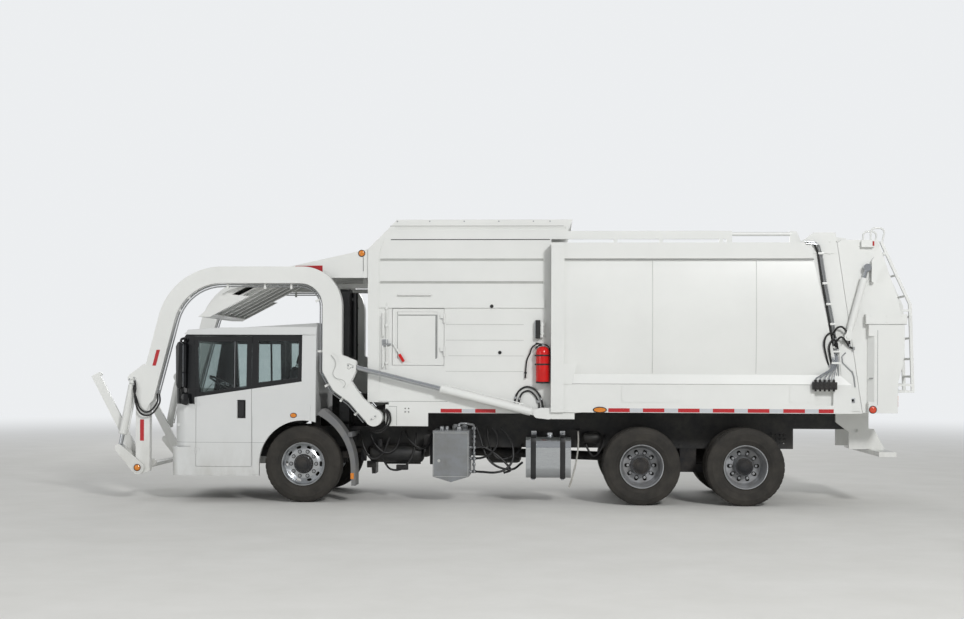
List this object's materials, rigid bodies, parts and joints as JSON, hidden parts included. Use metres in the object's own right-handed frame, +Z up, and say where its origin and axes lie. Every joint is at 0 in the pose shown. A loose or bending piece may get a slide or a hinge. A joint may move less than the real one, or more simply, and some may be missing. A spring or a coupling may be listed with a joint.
{
  "type": "front-loading garbage truck",
  "caption": "Three-axle refuse truck with over-cab lift arms and forks, a hopper with a sliding cover, a barrel-sided body and a top-hinged tailgate.",
  "frame": {"origin": "on the ground, at the middle of the whole truck's length and width", "axes": "+X aft along the truck, +Y to its right side, +Z up"},
  "size_m": [10.9112, 2.85, 3.7653],
  "materials": {
    "cab_paint": "gloss",
    "body_paint": "gloss",
    "frame_paint": "satin",
    "axle_iron": "rough",
    "engine_iron": "rough",
    "tyre": "matt",
    "wheel_alloy": "satin",
    "dark_wheel": "satin",
    "glazing": "clear",
    "black_plastic": "matt",
    "guard_plastic": "matt",
    "seat_cloth": "woven",
    "chrome_rod": "polished",
    "polished_tank": "polished",
    "grey_tank": "satin",
    "red_paint": "gloss",
    "hose_plastic": "satin"
  },
  "bodies": {
    "chassis": {"frame_rails": "frame_paint", "front_axle": "axle_iron", "rear_axles": "axle_iron", "engine": "engine_iron", "cab_front": "cab_paint", "cab_roof": "cab_paint", "cab_back": "cab_paint", "cab_sides": "cab_paint", "cab_floor": "frame_paint", "bumper": "cab_paint", "cab_glass": "glazing", "seats": "seat_cloth", "dashboard": "black_plastic", "mirrors": "black_plastic", "front_mudguards": "guard_plastic", "sills": "frame_paint", "hopper": "body_paint", "canopy": "body_paint", "cover_rails": "body_paint", "body": "body_paint", "rear_guard": "body_paint", "fuel_tank": "polished_tank", "hydraulic_tank": "grey_tank", "extinguisher": "red_paint", "intake_stack": "black_plastic", "valve_block": "chrome_rod", "drain_hose": "hose_plastic", "hose_clip": "black_plastic"},
    "lift_arms": {"arms": "body_paint", "torque_tube": "body_paint"},
    "fork_frame": {"forks": "body_paint"},
    "arm_cylinders": {"arm_barrels": "body_paint"},
    "arm_pistons": {"arm_rods": "chrome_rod"},
    "fork_cylinders": {"fork_barrels": "body_paint"},
    "fork_pistons": {"fork_rods": "chrome_rod"},
    "tail_cylinders": {"tailgate_barrels": "body_paint"},
    "tail_pistons": {"tailgate_rods": "chrome_rod"},
    "sliding_cover": {"hopper_cover": "body_paint"},
    "rear_gate": {"tailgate": "body_paint", "ladder": "body_paint"},
    "cab_door_left": {"door_left": "cab_paint", "door_glass_left": "glazing"},
    "cab_door_right": {"door_right": "cab_paint", "door_glass_right": "glazing"},
    "hopper_door": {"side_door": "body_paint"},
    "steer_left": {"knuckle_left": "axle_iron"},
    "steer_right": {"knuckle_right": "axle_iron"},
    "front_wheel_left": {"front_tyre_left": "tyre", "front_rim_left": "wheel_alloy"},
    "rear_wheels_1_left": {"rear_tyres_1_left": "tyre", "rear_rims_1_left": "dark_wheel"},
    "rear_wheels_2_left": {"rear_tyres_2_left": "tyre", "rear_rims_2_left": "dark_wheel"},
    "front_wheel_right": {"front_tyre_right": "tyre", "front_rim_right": "wheel_alloy"},
    "rear_wheels_1_right": {"rear_tyres_1_right": "tyre", "rear_rims_1_right": "dark_wheel"},
    "rear_wheels_2_right": {"rear_tyres_2_right": "tyre", "rear_rims_2_right": "dark_wheel"}
  },
  "joints": [
    {"name": "arm_lift", "type": "hinge", "parent": "chassis", "child": "lift_arms", "pos_m": [-1.604, 0, 1.13], "axis": [0, 1, 0], "range_deg": [0, 90]},
    {"name": "fork_tilt", "type": "hinge", "parent": "lift_arms", "child": "fork_frame", "pos_m": [-4.76, 0, 0.445], "axis": [0, -1, 0], "range_deg": [0, 70]},
    {"name": "cover_slide", "type": "slide", "parent": "chassis", "child": "sliding_cover", "axis": [1, 0, 0], "range_m": [0, 2.05]},
    {"name": "gate_swing", "type": "hinge", "parent": "chassis", "child": "rear_gate", "pos_m": [4.552, 0, 3.461], "axis": [0, -1, 0], "range_deg": [0, 85]},
    {"name": "door_left_swing", "type": "hinge", "parent": "chassis", "child": "cab_door_left", "pos_m": [-3.976, -1.224, 1.3], "axis": [0, 0, -1], "range_deg": [0, 75]},
    {"name": "door_right_swing", "type": "hinge", "parent": "chassis", "child": "cab_door_right", "pos_m": [-3.976, 1.224, 1.3], "axis": [0, 0, 1], "range_deg": [0, 75]},
    {"name": "hopper_door_swing", "type": "hinge", "parent": "chassis", "child": "hopper_door", "pos_m": [-0.685, -1.023, 2.2], "axis": [0, 0, 1], "range_deg": [0, 100]},
    {"name": "steer_left_turn", "type": "hinge", "parent": "chassis", "child": "steer_left", "pos_m": [-2.544, -0.88, 0.51], "axis": [0, 0, 1], "range_deg": [-35, 35]},
    {"name": "steer_right_turn", "type": "hinge", "parent": "chassis", "child": "steer_right", "pos_m": [-2.544, 0.88, 0.51], "axis": [0, 0, 1], "range_deg": [-35, 35]},
    {"name": "arm_cylinder_turn", "type": "hinge", "parent": "chassis", "child": "arm_cylinders", "pos_m": [0.565, 0, 1.196], "axis": [0, 1, 0], "range_deg": [-4.93, 0.2]},
    {"name": "arm_cylinder_stroke", "type": "slide", "parent": "arm_cylinders", "child": "arm_pistons", "axis": [-0.9709, 0, 0.2397], "range_m": [-1.04012, 0]},
    {"name": "fork_cylinder_turn", "type": "hinge", "parent": "lift_arms", "child": "fork_cylinders", "pos_m": [-4.838, 0, 1.637], "axis": [0, 1, 0], "range_deg": [-0.3391, 0.2]},
    {"name": "fork_cylinder_stroke", "type": "slide", "parent": "fork_cylinders", "child": "fork_pistons", "axis": [-0.1943, 0, -0.9809], "range_m": [0, 0.43113]},
    {"name": "tail_cylinder_turn", "type": "hinge", "parent": "chassis", "child": "tail_cylinders", "pos_m": [4.586, 0, 2.212], "axis": [0, 1, 0], "range_deg": [-2.47, 0.2]},
    {"name": "tail_cylinder_stroke", "type": "slide", "parent": "tail_cylinders", "child": "tail_pistons", "axis": [0.2584, 0, 0.966], "range_m": [0, 0.59944]},
    {"name": "front_wheel_left_roll", "type": "hinge", "parent": "steer_left", "child": "front_wheel_left", "pos_m": [-2.544, -1.05, 0.51], "axis": [0, 1, 0], "continuous": true},
    {"name": "rear_wheels_1_left_roll", "type": "hinge", "parent": "chassis", "child": "rear_wheels_1_left", "pos_m": [1.926, -0.935, 0.51], "axis": [0, 1, 0], "continuous": true},
    {"name": "rear_wheels_2_left_roll", "type": "hinge", "parent": "chassis", "child": "rear_wheels_2_left", "pos_m": [3.276, -0.935, 0.51], "axis": [0, 1, 0], "continuous": true},
    {"name": "front_wheel_right_roll", "type": "hinge", "parent": "steer_right", "child": "front_wheel_right", "pos_m": [-2.544, 1.05, 0.51], "axis": [0, 1, 0], "continuous": true},
    {"name": "rear_wheels_1_right_roll", "type": "hinge", "parent": "chassis", "child": "rear_wheels_1_right", "pos_m": [1.926, 0.935, 0.51], "axis": [0, 1, 0], "continuous": true},
    {"name": "rear_wheels_2_right_roll", "type": "hinge", "parent": "chassis", "child": "rear_wheels_2_right", "pos_m": [3.276, 0.935, 0.51], "axis": [0, 1, 0], "continuous": true}
  ],
  "couplings": [
    {"joint": "steer_right_turn", "follows": "steer_left_turn", "ratio": 1},
    {"joint": "arm_cylinder_turn", "follows": "arm_lift", "ratio": -0.052545},
    {"joint": "arm_cylinder_stroke", "follows": "arm_lift", "m_per_rad": -0.66089},
    {"joint": "fork_cylinder_turn", "follows": "fork_tilt", "ratio": -0.0019873},
    {"joint": "fork_cylinder_stroke", "follows": "fork_tilt", "m_per_rad": 0.35125},
    {"joint": "tail_cylinder_turn", "follows": "gate_swing", "ratio": -0.02665},
    {"joint": "tail_cylinder_stroke", "follows": "gate_swing", "m_per_rad": 0.40272}
  ]
}
